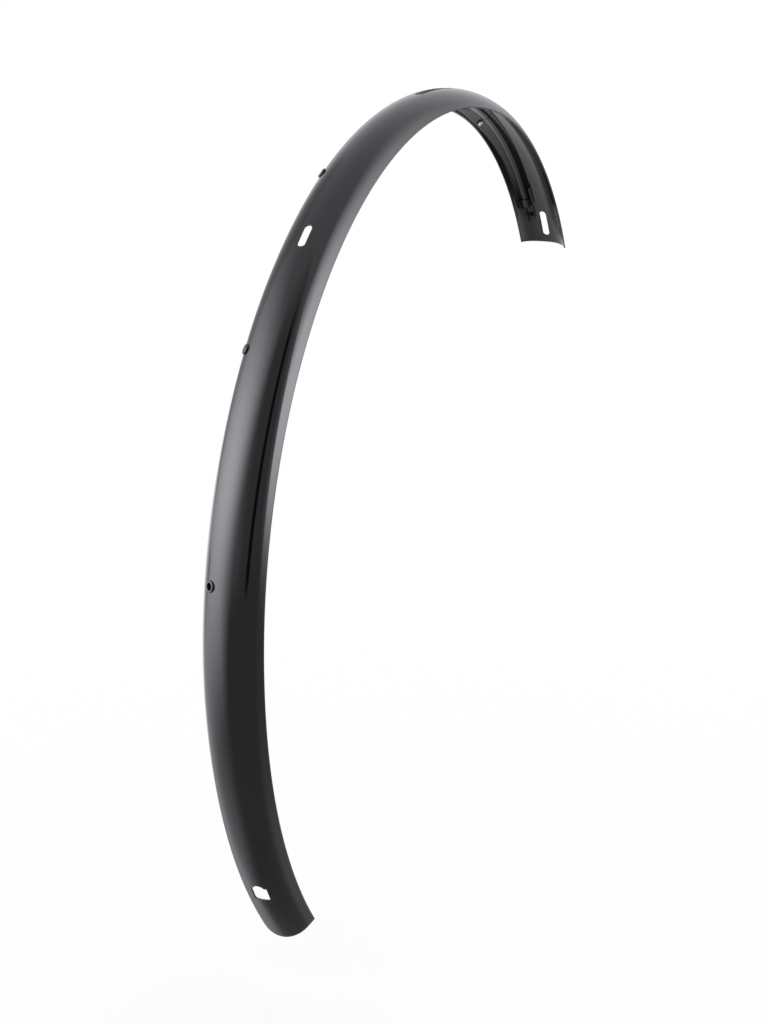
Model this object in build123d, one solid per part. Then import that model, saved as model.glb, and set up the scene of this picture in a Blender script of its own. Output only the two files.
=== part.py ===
from build123d import *
import os
from math import cos, degrees, radians, sin, tan

# Rear wheel mudguard. All lengths in millimetres, all angles in degrees.
# X points forward, Y to the left along the wheel axle, Z up.
# Stations are distances along the crown, measured from the front end.

# Line of the crown, two tangent arcs seen from the side
MAIN_RADIUS = 380.0
MAIN_LENGTH = 997.2
FRONT_RADIUS = 281.6
FRONT_LENGTH = 227.2
JUNCTION_ANGLE = 70.7

# Cross section of the blade
CROWN_RADIUS = 25.0
CROWN_HALF_ANGLE = 58.6
SHEET = 1.2
FRONT_DEPTH = 12.7
MIDDLE_DEPTH = 16.3
REAR_DEPTH = 17.2
FRONT_BOW = 6.0
REAR_BOW = 7.0

# Openings along the crown
FRONT_SLOT_AT = 21.3
FRONT_SLOT_LENGTH = 27.0
FRONT_SLOT_WIDTH = 6.0
TOP_SLOT_AT = 343.0
TOP_SLOT_LENGTH = 70.0
TOP_SLOT_WIDTH = 6.0
CROWN_SLOT_AT = 609.3
CROWN_SLOT_LENGTH = 21.0
CROWN_SLOT_WIDTH = 6.0
REAR_HOLE_AT = 1161.0
REAR_HOLE_LENGTH = 14.0
REAR_HOLE_WIDTH = 13.0
REAR_HOLE_CORNER = 1.2
REAR_HOLE_LOBE_DIAMETER = 9.0
REAR_HOLE_LOBE_REACH = 3.0

# Fixings of the cable cover, on the left shoulder
FIRST_FIXING_AT = 187.5
SECOND_FIXING_AT = 529.0
THIRD_FIXING_AT = 709.0
FIXING_ANGLE = 47.5
SCREW_DIAMETER = 3.0
SCREW_HEAD_DIAMETER = 5.2
SCREW_HEAD_HEIGHT = 1.2
SCREW_HEAD_BEVEL = 0.4
BUSH_DIAMETER = 8.4
BUSH_HEIGHT = 1.5
BUSH_ROUND = 0.9
BUSH_BARREL_DIAMETER = 6.6
BUSH_ROOF = 0.8

# Grommet where the cable leaves the cover
GROMMET_AT = 890.5
GROMMET_ANGLE = 31.3
GROMMET_DIAMETER = 9.2
GROMMET_HEIGHT = 1.15
GROMMET_ROUND = 0.8
GROMMET_BARREL_DIAMETER = 7.2
GROMMET_BORE = 5.8

# Cable cover, a flange with a half-round channel
COVER_START = 55.7
COVER_TAIL = 5.0
COVER_REAR_REACH = 8.0
COVER_END_WALL = 1.2
COVER_WALL = 1.2
CHANNEL_RADIUS = 3.0
CHANNEL_ANGLE = 28.6
FLANGE_EDGE_ANGLE = 49.5
PAD_DIAMETER = 8.4
PAD_RISE = 0.5

# End clip in front of the cover
CLIP_LENGTH = 26.5
CLIP_COLLAR_LENGTH = 9.5
CLIP_COLLAR_WALL = 1.9
CLIP_NOSE_THICKNESS = 3.6
CLIP_NOSE_LEFT_ANGLE = 35.0
CLIP_NOSE_RIGHT_ANGLE = 17.0
CLIP_WINDOW_SIDE = 5.0
CLIP_WINDOW_AT = 19.0
CLIP_BRIDGE_THICKNESS = 2.4
CLIP_BRIDGE_LENGTH = 11.0
CLIP_EAR_LENGTH = 12.0
CLIP_EAR_WIDTH_ANGLE = 4.5
CLIP_EAR_THICKNESS = 2.4

# Clearances
SEAT_GAP = 0.3
BUSH_SEAT_GAP = 0.1
HOLE_GAP = 0.2
THREAD_GAP = 0.1
SCREW_GAP = 0.4
JOINT_GAP = 0.8
SIDE_GAP = 0.2

TOTAL_LENGTH = FRONT_LENGTH + MAIN_LENGTH
INNER_RADIUS = CROWN_RADIUS - SHEET
SEAT_RADIUS = INNER_RADIUS - SEAT_GAP
RIDGE_RADIUS = CHANNEL_RADIUS + COVER_WALL
FIXING_STATIONS = (FIRST_FIXING_AT, SECOND_FIXING_AT, THIRD_FIXING_AT)


def station(s):
    """Arc centre, arc radius and turn angle of the crown at station s."""
    turn = radians(JUNCTION_ANGLE)
    past = s - FRONT_LENGTH
    if past < 0:
        shift = MAIN_RADIUS - FRONT_RADIUS
        centre = Vector(shift * cos(turn), 0, shift * sin(turn))
        return centre, FRONT_RADIUS, turn + past / FRONT_RADIUS
    return Vector(0, 0, 0), MAIN_RADIUS, turn + past / MAIN_RADIUS


def section_plane(s):
    """Plane of the cross section at station s, x outwards from the crown, y to the left."""
    centre, radius, turn = station(s)
    outwards = Vector(cos(turn), 0, sin(turn))
    rearwards = Vector(-sin(turn), 0, cos(turn))
    return Plane(origin=centre + outwards * radius, x_dir=outwards, z_dir=rearwards)


def skin_plane(s, angle):
    """Plane on the outer skin at an angle round the crown, x rearwards, z outwards."""
    base = section_plane(s)
    a = radians(angle)
    normal = base.x_dir * cos(a) + base.y_dir * sin(a)
    middle = base.origin - base.x_dir * CROWN_RADIUS
    return Plane(origin=middle + normal * CROWN_RADIUS, x_dir=base.z_dir, z_dir=normal)


def along_crown(face, start, end):
    """Solid of a section face carried along the crown from one station to another."""
    solid = None
    for a, b in ((start, min(end, FRONT_LENGTH)), (max(start, FRONT_LENGTH), end)):
        if b - a < 1e-6:
            continue
        centre, radius, _ = station((a + b) / 2)
        turn = degrees((b - a) / radius)
        piece = revolve(section_plane(a) * face, Axis(centre, (0, -1, 0)), revolution_arc=turn)
        solid = piece if solid is None else solid + piece
    return solid


def disc(radius, angle=None, distance=0.0):
    """Section disc, about the crown's centre or about a point at an angle and distance from it."""
    x = -CROWN_RADIUS
    y = 0.0
    if angle is not None:
        x = distance * cos(radians(angle)) - CROWN_RADIUS
        y = distance * sin(radians(angle))
    return Pos(x, y) * Circle(radius)


def band(outer, inner, low_angle, high_angle):
    """Section strip between two radii and two angles round the crown."""
    def point(radius, angle):
        a = radians(angle)
        return (radius * cos(a) - CROWN_RADIUS, radius * sin(a))

    middle = (low_angle + high_angle) / 2
    edges = [
        ThreePointArc(point(outer, low_angle), point(outer, middle), point(outer, high_angle)),
        Line(point(outer, high_angle), point(inner, high_angle)),
        ThreePointArc(point(inner, high_angle), point(inner, middle), point(inner, low_angle)),
        Line(point(inner, low_angle), point(outer, low_angle)),
    ]
    return make_face(edges)


def lip_depth(s):
    """Depth of the side walls below the crown, a parabola through its front, middle and rear values."""
    u = 2 * s / TOTAL_LENGTH - 1
    slope = (REAR_DEPTH - FRONT_DEPTH) / 2
    bend = (REAR_DEPTH + FRONT_DEPTH) / 2 - MIDDLE_DEPTH
    return MIDDLE_DEPTH + slope * u + bend * u * u


def lip_half_width(depth):
    """Half width of the blade where its walls reach a given depth."""
    c = radians(CROWN_HALF_ANGLE)
    return CROWN_RADIUS * sin(c) + (depth - CROWN_RADIUS * (1 - cos(c))) / tan(c)


def blade_section():
    """Crown arc with tangent straight walls, one sheet thick, deeper than the finished lips."""
    c = radians(CROWN_HALF_ANGLE)
    blank_depth = max(FRONT_DEPTH, MIDDLE_DEPTH, REAR_DEPTH) + 4
    wall = (blank_depth - CROWN_RADIUS * (1 - cos(c))) / sin(c)

    def on_arc(radius, angle):
        return (radius * cos(angle) - CROWN_RADIUS, radius * sin(angle))

    def half_arc(radius, start, end):
        return ThreePointArc(on_arc(radius, start), on_arc(radius, (start + end) / 2), on_arc(radius, end))

    def lip(radius, side):
        x, y = on_arc(radius, side * c)
        return (x - wall * sin(c), y + side * wall * cos(c))

    edges = [
        Line(lip(CROWN_RADIUS, 1), on_arc(CROWN_RADIUS, c)),
        half_arc(CROWN_RADIUS, c, 0),
        half_arc(CROWN_RADIUS, 0, -c),
        Line(on_arc(CROWN_RADIUS, -c), lip(CROWN_RADIUS, -1)),
        Line(lip(CROWN_RADIUS, -1), lip(INNER_RADIUS, -1)),
        Line(lip(INNER_RADIUS, -1), on_arc(INNER_RADIUS, -c)),
        half_arc(INNER_RADIUS, -c, 0),
        half_arc(INNER_RADIUS, 0, c),
        Line(on_arc(INNER_RADIUS, c), lip(INNER_RADIUS, 1)),
        Line(lip(INNER_RADIUS, 1), lip(CROWN_RADIUS, 1)),
    ]
    return make_face(edges)


def lip_trim():
    """Block inside the lip line, which leaves the walls at their finished depth."""
    beyond = 20.0
    count = 13
    points = []
    for i in range(count):
        s = -beyond + (TOTAL_LENGTH + 2 * beyond) * i / (count - 1)
        base = section_plane(s)
        points.append(base.origin - base.x_dir * lip_depth(s))
    hub = Vector(0, 0, 0)
    outline = [Spline(*points), Line(points[-1], hub), Line(hub, points[0])]
    return extrude(make_face(outline), amount=4 * CROWN_RADIUS, both=True)


def end_trim(s, bow, depth, side):
    """Block outside a bowed end, side is -1 at the front end and 1 at the rear end."""
    half = lip_half_width(depth)
    radius = (half * half + bow * bow) / (2 * bow)
    outside = Rectangle(2 * CROWN_RADIUS, 6 * CROWN_RADIUS) - Pos(-side * radius, 0) * Circle(radius)
    reach = 2 * CROWN_RADIUS
    return extrude(skin_plane(s, 0) * Pos(0, 0, -reach) * outside, amount=2 * reach)


def through(s, angle, sketch):
    """Prism of a sketch through the skin at a station and an angle."""
    deep = 8.0
    return extrude(skin_plane(s, angle) * Pos(0, 0, -deep) * sketch, amount=2 * deep)


def rear_opening():
    """Square opening with a round lobe on its front edge."""
    lobe_x = -REAR_HOLE_LENGTH / 2 - REAR_HOLE_LOBE_REACH + REAR_HOLE_LOBE_DIAMETER / 2
    square = RectangleRounded(REAR_HOLE_LENGTH, REAR_HOLE_WIDTH, REAR_HOLE_CORNER)
    return square + Pos(lobe_x, 0) * Circle(REAR_HOLE_LOBE_DIAMETER / 2)


def blade():
    """Rolled sheet with its slots, opening, bowed ends and holes for the bushes."""
    over = 15.0
    solid = along_crown(blade_section(), -over, TOTAL_LENGTH + over)
    solid -= lip_trim()
    solid -= end_trim(0, FRONT_BOW, FRONT_DEPTH, -1)
    solid -= end_trim(TOTAL_LENGTH, REAR_BOW, REAR_DEPTH, 1)
    solid -= through(FRONT_SLOT_AT, 0, SlotOverall(FRONT_SLOT_LENGTH, FRONT_SLOT_WIDTH))
    solid -= through(TOP_SLOT_AT, 0, SlotOverall(TOP_SLOT_LENGTH, TOP_SLOT_WIDTH))
    solid -= through(CROWN_SLOT_AT, 0, SlotOverall(CROWN_SLOT_LENGTH, CROWN_SLOT_WIDTH))
    solid -= through(REAR_HOLE_AT, 0, rear_opening())
    for s in FIXING_STATIONS:
        solid -= through(s, FIXING_ANGLE, Circle((BUSH_BARREL_DIAMETER + HOLE_GAP) / 2))
    solid -= through(GROMMET_AT, GROMMET_ANGLE, Circle((GROMMET_BARREL_DIAMETER + HOLE_GAP) / 2))
    return solid


def rod(s, diameter, low, high, angle=FIXING_ANGLE):
    """Round bar square to the skin between two heights, zero at the outer skin."""
    plane = skin_plane(s, angle)
    return extrude(plane * Pos(0, 0, low) * Circle(diameter / 2), amount=high - low)


def pad_level():
    """Height of the pad under a screw head."""
    return -SHEET - SEAT_GAP - COVER_WALL - PAD_RISE


def button(s, angle, diameter, height, edge):
    """Round button standing on the skin, its top edge rounded and its foot shaped to the shoulder."""
    sink = 1.0
    body = Cylinder(diameter / 2, height + sink, align=(Align.CENTER, Align.CENTER, Align.MIN))
    body = fillet(body.edges().group_by(Axis.Z)[-1], edge)
    body = skin_plane(s, angle) * Pos(0, 0, -sink) * body
    return body - along_crown(disc(CROWN_RADIUS + BUSH_SEAT_GAP), s - diameter, s + diameter)


def bush(s):
    """Blind bush set into the blade, a round button outside and a barrel with a threaded bore."""
    solid = button(s, FIXING_ANGLE, BUSH_DIAMETER, BUSH_HEIGHT, BUSH_ROUND)
    solid += rod(s, BUSH_BARREL_DIAMETER, -SHEET, SHEET / 2)
    return solid - rod(s, SCREW_DIAMETER + THREAD_GAP, -SHEET - 1, BUSH_HEIGHT - BUSH_ROOF)


def grommet():
    """Grommet round the cable's way out, a rounded ring outside and a barrel through the blade."""
    solid = button(GROMMET_AT, GROMMET_ANGLE, GROMMET_DIAMETER, GROMMET_HEIGHT, GROMMET_ROUND)
    solid += rod(GROMMET_AT, GROMMET_BARREL_DIAMETER, -SHEET, SHEET / 2, GROMMET_ANGLE)
    return solid - rod(GROMMET_AT, GROMMET_BORE, -SHEET - 1, GROMMET_HEIGHT + 1, GROMMET_ANGLE)


def screw(s):
    """Pan head screw from the inside."""
    seat = pad_level()
    head = Pos(0, 0, seat - SCREW_HEAD_HEIGHT) * Cylinder(
        SCREW_HEAD_DIAMETER / 2,
        SCREW_HEAD_HEIGHT,
        align=(Align.CENTER, Align.CENTER, Align.MIN),
    )
    head = chamfer(head.edges().group_by(Axis.Z)[0], SCREW_HEAD_BEVEL)
    return skin_plane(s, FIXING_ANGLE) * head + rod(s, SCREW_DIAMETER, seat, 0)


def cover_section():
    """Flange strip and half-round channel, seated on the blade's inner skin."""
    strip = band(SEAT_RADIUS, SEAT_RADIUS - COVER_WALL, CHANNEL_ANGLE, FLANGE_EDGE_ANGLE)
    ridge = disc(RIDGE_RADIUS, CHANNEL_ANGLE, SEAT_RADIUS) & disc(SEAT_RADIUS)
    return strip + ridge - disc(CHANNEL_RADIUS, CHANNEL_ANGLE, SEAT_RADIUS)


def cover(start, end, fixing):
    """One length of cable cover, screwed down through a pad on its flange."""
    solid = along_crown(cover_section(), start, end)
    pad = rod(fixing, PAD_DIAMETER, pad_level(), 0)
    pad = pad & along_crown(disc(SEAT_RADIUS), fixing - PAD_DIAMETER, fixing + PAD_DIAMETER)
    hole = rod(fixing, SCREW_DIAMETER + SCREW_GAP, pad_level() - 1, 1)
    return solid + pad - hole


def covers():
    """The three lengths of cover, front to rear, the last one closed behind the grommet."""
    first_end = FIRST_FIXING_AT + COVER_TAIL
    second_end = SECOND_FIXING_AT + COVER_TAIL
    third_end = GROMMET_AT + COVER_REAR_REACH
    third = cover(second_end + JOINT_GAP, third_end, THIRD_FIXING_AT)
    stop = disc(RIDGE_RADIUS, CHANNEL_ANGLE, SEAT_RADIUS) & disc(SEAT_RADIUS)
    third += along_crown(stop, third_end - COVER_END_WALL, third_end)
    return (
        cover(COVER_START, first_end, FIRST_FIXING_AT),
        cover(first_end + JOINT_GAP, second_end, SECOND_FIXING_AT),
        third,
    )


def end_clip():
    """Clip in front of the cover, with a collar, a nose with a window, a bridge and an ear."""
    rear = COVER_START - SIDE_GAP
    collar_front = rear - CLIP_COLLAR_LENGTH
    front = rear - CLIP_LENGTH
    channel = disc(CHANNEL_RADIUS, CHANNEL_ANGLE, SEAT_RADIUS)
    collar = disc(CHANNEL_RADIUS + CLIP_COLLAR_WALL, CHANNEL_ANGLE, SEAT_RADIUS) & disc(SEAT_RADIUS)
    solid = along_crown(collar - channel, collar_front, rear)

    low = SEAT_RADIUS - CLIP_NOSE_THICKNESS
    nose = band(SEAT_RADIUS, low, CLIP_NOSE_RIGHT_ANGLE, CLIP_NOSE_LEFT_ANGLE)
    solid += along_crown(nose - channel, front, collar_front + 2)
    middle = (CLIP_NOSE_RIGHT_ANGLE + CLIP_NOSE_LEFT_ANGLE) / 2
    window = Rectangle(CLIP_WINDOW_SIDE, CLIP_WINDOW_SIDE)
    solid -= through(rear - CLIP_WINDOW_AT, middle, window)

    under = SEAT_RADIUS - CLIP_BRIDGE_THICKNESS
    bridge = band(SEAT_RADIUS, under, CLIP_NOSE_LEFT_ANGLE - 1, FLANGE_EDGE_ANGLE)
    solid += along_crown(bridge - channel, rear - CLIP_BRIDGE_LENGTH, rear)

    ridge_half = degrees(2 * RIDGE_RADIUS / (2 * SEAT_RADIUS))
    ear_left = CHANNEL_ANGLE - ridge_half - degrees(SIDE_GAP / SEAT_RADIUS) - 0.4
    ear = band(SEAT_RADIUS, SEAT_RADIUS - CLIP_EAR_THICKNESS, ear_left - CLIP_EAR_WIDTH_ANGLE, ear_left)
    solid += along_crown(ear, collar_front, rear + CLIP_EAR_LENGTH)
    return solid


pieces = {"blade": blade(), "end_clip": end_clip()}
for number, piece in enumerate(covers(), 1):
    pieces["cable_cover_%d" % number] = piece
pieces["cover_screws"] = Compound(children=[screw(s) for s in FIXING_STATIONS])
pieces["bushes"] = Compound(children=[bush(s) for s in FIXING_STATIONS])
pieces["cable_grommet"] = grommet()

origin = skin_plane(CROWN_SLOT_AT, 0).origin
os.makedirs("parts", exist_ok=True)
for node, piece in pieces.items():
    export_step(piece.moved(Location(-origin)), "parts/%s.step" % node)
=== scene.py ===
import bpy
import numpy as np
from mathutils import Matrix


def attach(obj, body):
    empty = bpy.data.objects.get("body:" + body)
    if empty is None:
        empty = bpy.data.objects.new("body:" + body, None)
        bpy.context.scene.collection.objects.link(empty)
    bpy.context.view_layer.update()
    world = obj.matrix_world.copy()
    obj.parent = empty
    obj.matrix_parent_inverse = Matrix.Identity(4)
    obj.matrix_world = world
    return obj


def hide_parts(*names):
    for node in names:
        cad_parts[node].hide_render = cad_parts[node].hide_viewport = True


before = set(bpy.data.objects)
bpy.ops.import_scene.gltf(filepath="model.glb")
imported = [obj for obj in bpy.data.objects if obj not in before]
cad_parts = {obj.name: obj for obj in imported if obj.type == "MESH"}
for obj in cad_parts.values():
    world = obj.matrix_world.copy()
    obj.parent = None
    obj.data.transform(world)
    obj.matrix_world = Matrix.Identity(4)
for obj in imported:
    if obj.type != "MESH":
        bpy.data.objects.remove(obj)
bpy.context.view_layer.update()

# Lengths are in metres, and angles in radians unless degrees are named
# Stations run along the crown from the front end

# Line of the crown, seen from the side
AXLE = np.array([0.235581, 0.0, -0.298164])
MAIN_RADIUS = 0.380
MAIN_LENGTH = 0.9972
FRONT_RADIUS = 0.2816
FRONT_LENGTH = 0.2272
JUNCTION_TURN = np.radians(70.7)
TOTAL_LENGTH = FRONT_LENGTH + MAIN_LENGTH
LEFT = np.array([0.0, 1.0, 0.0])

# Cross section of the blade: crown arc, sheet, and depth at the front end, the middle and the rear end
CROWN_RADIUS = 0.025
CROWN_HALF_ANGLE = np.radians(58.6)
SHEET = 0.0012
FRONT_DEPTH = 0.0127
MIDDLE_DEPTH = 0.0163
REAR_DEPTH = 0.0172

# Bows of the blade's two ends, and the length along which a bow fades
FRONT_LEFT_BOW_RADIUS = 0.0415
FRONT_RIGHT_BOW_RADIUS = 0.085
REAR_BOW_RADIUS = 0.0465
BOW_FADE = 0.060

# Extra width about the rear bend: greatest share, station, and reach forwards and rearwards
FLARE = 0.042
FLARE_AT = 0.946
FLARE_RISE = 0.190
FLARE_FALL = 0.120

# Openings along the crown: station of the middle, length, width
FRONT_SLOT = (0.0213, 0.027, 0.006)
TOP_SLOT = (0.3430, 0.070, 0.006)
CROWN_SLOT = (0.6093, 0.021, 0.006)
REAR_HOLE_AT = 1.161
REAR_HOLE_LENGTH = 0.014
REAR_HOLE_WIDTH = 0.013
REAR_HOLE_CORNER = 0.0012
REAR_HOLE_LOBE_RADIUS = 0.0045
REAR_HOLE_LOBE_REACH = 0.003

# Fixings of the cable cover: stations, and angle to the left of the crown
FIXING_STATIONS = (0.1875, 0.5290, 0.7090)
FIXING_ANGLE = np.radians(47.5)

# Screw head: sizes, shares of its height by which its dome and edge fall, and its sloping cross recess
SCREW_HEAD_RADIUS = 0.0026
SCREW_HEAD_HEIGHT = 0.0012
SCREW_DOME_FALL = 0.25
SCREW_EDGE_FALL = 0.35
SCREW_EDGE_POWER = 12
CROSS_LENGTH = 0.0032
CROSS_WIDTH = 0.0009
CROSS_DEPTH = 0.0008
CROSS_SLOPE = 0.00027

# Bush over each screw, and how far the buttons sink into the skin
BUSH_RADIUS = 0.0042
BUSH_HEIGHT = 0.0015
BUSH_ROUND = 0.0009
FOOT_SINK = 0.0004

# Grommet where the cable leaves the cover, its hole in the blade and the mesh's window about it
GROMMET_AT = 0.8905
GROMMET_ANGLE = np.radians(31.3)
GROMMET_RADIUS = 0.0046
GROMMET_HEIGHT = 0.00115
GROMMET_ROUND = 0.0008
GROMMET_BARREL_RADIUS = 0.0036
GROMMET_BORE_RADIUS = 0.0029
GROMMET_BORE_ROUND = 0.0003
GROMMET_HOLE_RADIUS = 0.0037
GROMMET_WINDOW = 0.0058

# Cable cover: stations of its three lengths, wall, channel and the wall that closes it
COVER_ENDS = ((0.0557, 0.1925), (0.1933, 0.5340), (0.5348, 0.8985))
COVER_SEAT_RADIUS = 0.0235
COVER_WALL = 0.0012
CHANNEL_RADIUS = 0.0030
CHANNEL_ANGLE = np.radians(28.6)
END_WALL_INSET = 0.0002

# Cable cover: foot on the right of the ridge, flange on the left, tongues and pads at the fixings
FOOT_EDGE_ANGLE = np.radians(12.7)
FOOT_MEETS_RIDGE = np.radians(-55.0)
FOOT_EDGE = 0.0003
FLANGE_EDGE_ANGLE = np.radians(49.5)
TONGUE_ANGLE = np.radians(9.0)
TONGUE_SHIFT = 0.012
TONGUE_FLAT = 0.012
TONGUE_REACH = 0.082
PAD_RADIUS = 0.0042
PAD_ROUND = 0.0003
PAD_LEVEL = -0.0032

# Fineness of the blade's mesh
ROW_STEP = 0.004
HALF_COLUMNS = 26
RIM_STEPS = 6
CORNER_STEPS = 3
FAN_MARGIN = 0.008
FAN_POWER = 3
SLOT_END_POINTS = 9
HOLE_CORNER_POINTS = 5
HOLE_SIDE_POINTS = 4
HOLE_REAR_POINTS = 5
GROMMET_RINGS = 3
WELD_STEP = 2e-7

# Fineness of the smaller pieces and the floor
TURN_STEPS = 64
ROUND_STEPS = 6
BUSH_TOP_RINGS = 6
PAD_ROUND_STEPS = 4
SCREW_RINGS = 48
SCREW_TURN_STEPS = 96
RIDGE_STEPS = 24
FOOT_STEPS = 5
FLANGE_STEPS = 8
FLANGE_EDGE_STEPS = 4
FLOOR_SIDES = 96

# Angles past which an edge stays sharp
SHEET_CREASE = np.radians(60.0)
BUTTON_CREASE = np.radians(50.0)
COVER_CREASE = np.radians(40.0)
SCREW_CREASE = np.radians(40.0)

# Finishes: scale of the unevenness, its two colours, its least and greatest roughness and its grain
PAINT = dict(
    scale=60.0, dark=(0.0022, 0.0022, 0.0024), light=(0.0030, 0.0030, 0.0033), smooth=0.06, rough=0.09)
COVER_PLASTIC = dict(
    scale=700.0, dark=(0.0016, 0.0016, 0.0018), light=(0.0032, 0.0032, 0.0034), smooth=0.07, rough=0.12,
    grain=0.03, ior=1.37)
BUTTON_BLACK = dict(scale=500.0, dark=(0.003, 0.003, 0.0032), light=(0.005, 0.005, 0.0054), grain=0.04)
BUSH_PLASTIC = dict(BUTTON_BLACK, smooth=0.14, rough=0.22)
GROMMET_RUBBER = dict(BUTTON_BLACK, smooth=0.18, rough=0.26)
SCREW_STEEL = dict(
    scale=900.0, dark=(0.60, 0.60, 0.62), light=(0.78, 0.78, 0.80), smooth=0.16, rough=0.30, metallic=1.0)
NOISE_DETAIL = 4.0
GRAIN_DEPTH = 0.0001

# Extra roughness of the inner skin's middle and shoulders, and the angles at which a shoulder changes
MIDDLE_ROUGHNESS = 0.06
SHOULDER_ROUGHNESS = 0.30
SHOULDER_ANGLES = np.radians([12.0, 30.0, 38.0, 50.0])

# Camera: azimuth and dip of its aim, distance and shifts in crown radii, focal length in pixels, film in mm
AIM_AZIMUTH = np.radians(23.7894)
AIM_DIP = np.radians(15.7405)
EYE_DISTANCE = 6.0
EYE_RIGHT = -0.0942
EYE_UP = 0.0581
FOCAL_PIXELS = 2669.54
PICTURE_HEIGHT = 1024
FILM_SIZE = 36.0
VIEW_REACH = 50.0

# Floor: height, radius, and the share of light it returns
FLOOR_LEVEL = -0.60
FLOOR_RADIUS = 3.0
FLOOR_RETURN = 0.4

# Lit floor that gloss sees: levels, and for each edge the two places between which it fades
LIT_LEVEL = 1.10
LIT_SIDES_GAIN = 0.22
LIT_LEFT_EDGE = (-0.15, 0.10)
LIT_RIGHT_EDGE = (-0.65, -0.50)
# Painted shadow of the blade on the lit floor: its level near the blade, and the places between which it
# fades
PAINTED_SHADOW_LEVEL = 0.80
PAINTED_SHADOW_EDGE = (0.35, 0.85)
LIT_START_EDGE = (0.12, 0.22)

# Black card on the lit floor: shade, edges, and the slants of its far left edge and of its near edge
CARD_SHADE = 0.95
CARD_LEFT_EDGE = (-0.46, -0.39)
CARD_SLANT_FROM = 1.1
CARD_LEFT_SLANT = 0.4
CARD_STEP_LEFT_EDGE = (-0.32, -0.24)
CARD_STEP_FAR_EDGE = (0.50, 0.62)
CARD_NEAR_EDGE = (-0.16, -0.09)
CARD_NEAR_SLANT = 0.7

# Studio: turn of its dark side, and its white as the eye and as gloss see it
STUDIO_TURN = np.radians(143.0)
PLAIN_WHITE = (1, 1, 1, 1)
COOL_WHITE = (0.985, 0.995, 1.05, 1)

# Walls above the horizon: levels, and the degrees between which each edge fades
HORIZON = (-8, 10)
WALL_LEVEL = 0.98
DARK_SIDE_SHADE = 0.46
DARK_SIDE_LEFT = (-37, -8)
DARK_SIDE_RIGHT = (38, 46)
DARK_SIDE_TOP = (52, 82)
PANEL_SHADE = 0.40
PANEL_LEFT = (-178, -165)
PANEL_RIGHT = (-150, -135)
PANEL_TOP = (35, 60)

# Ground below the horizon, with a glow on the left and one on the right, edges in degrees
GROUND_LEVELS = (0.33, 0.41)
GROUND_RISE = (-74, -50)
LEFT_GLOW_START_LEVEL = 0.66
LEFT_GLOW_START = (-178, -138)
LEFT_GLOW_END_LEVEL = 0.56
LEFT_GLOW_END = (-95, -42)
LEFT_GLOW_FOOT = (-78, -50)
RIGHT_GLOW_LEVEL = 0.75
RIGHT_GLOW_START = (40, 90)
RIGHT_GLOW_END = (100, 125)
RIGHT_GLOW_FOOT = (-58, -38)

# Soft diffuser on the left: level, leaning middle line and edges in degrees, two of them for its right
DIFFUSER_LEVEL = 6.3
DIFFUSER_MIDDLE = -97.8
DIFFUSER_LEAN = 0.45
DIFFUSER_LEAN_FROM = 5
DIFFUSER_LEFT = (-66, 0)
DIFFUSER_LOW_RIGHT = (22, 50)
DIFFUSER_HIGH_RIGHT = (6, 62)
DIFFUSER_RIGHT_CHANGE = (-30, 5)
DIFFUSER_FOOT = (-37, 21)
DIFFUSER_TOP = (20, 74)

# Hard-edged light on the right: level, edges in degrees, and the tilt of its top
HARD_LIGHT_LEVEL = 6.6
HARD_LIGHT_LEFT = (49.5, 54)
HARD_LIGHT_RIGHT = (66, 128)
HARD_LIGHT_POWER = 1.5
HARD_LIGHT_FOOT = (-16, 13)
HARD_LIGHT_TOP = (19, 48)
HARD_LIGHT_TILT = 3
HARD_LIGHT_TILT_EDGE = (50, 75)

# Thin black flag: leaning middle line, half width and ends, in degrees
FLAG_MIDDLE = 7.2
FLAG_LEAN = 0.43
FLAG_HALF_WIDTH = (4.2, 7.0)
FLAG_FOOT = (-6, 1)
FLAG_TOP = (46, 58)


def crown_line(s):
    """Point of the crown at station s with the outward and rearward directions there.

    Two tangent arcs: the main one about the axle, the front one about a point moved
    along the junction's radius by the difference of the two radii.
    """
    front = s < FRONT_LENGTH
    radius = np.where(front, FRONT_RADIUS, MAIN_RADIUS)
    turn = JUNCTION_TURN + (s - FRONT_LENGTH) / radius
    out = np.stack([np.cos(turn), np.zeros_like(turn), np.sin(turn)], -1)
    back = np.stack([-np.sin(turn), np.zeros_like(turn), np.cos(turn)], -1)
    shift = (MAIN_RADIUS - radius)[..., None]
    junction = np.array([np.cos(JUNCTION_TURN), 0.0, np.sin(JUNCTION_TURN)])
    return AXLE + shift * junction + radius[..., None] * out, out, back


def lip_arc(s):
    """Arc length from the crown to the lip, from a depth that is a parabola along the blade."""
    u = 2 * s / TOTAL_LENGTH - 1
    depth = MIDDLE_DEPTH + (REAR_DEPTH - FRONT_DEPTH) / 2 * u
    depth = depth + ((REAR_DEPTH + FRONT_DEPTH) / 2 - MIDDLE_DEPTH) * u * u
    arc_depth = CROWN_RADIUS * (1 - np.cos(CROWN_HALF_ANGLE))
    return CROWN_RADIUS * CROWN_HALF_ANGLE + (depth - arc_depth) / np.sin(CROWN_HALF_ANGLE)


def spread(s):
    """Factor on the blade's width at station s, one but for a bell about the rear bend."""
    reach = np.where(s < FLARE_AT, FLARE_RISE, FLARE_FALL)
    return 1 + FLARE * np.exp(-((s - FLARE_AT) / reach) ** 2)


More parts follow.
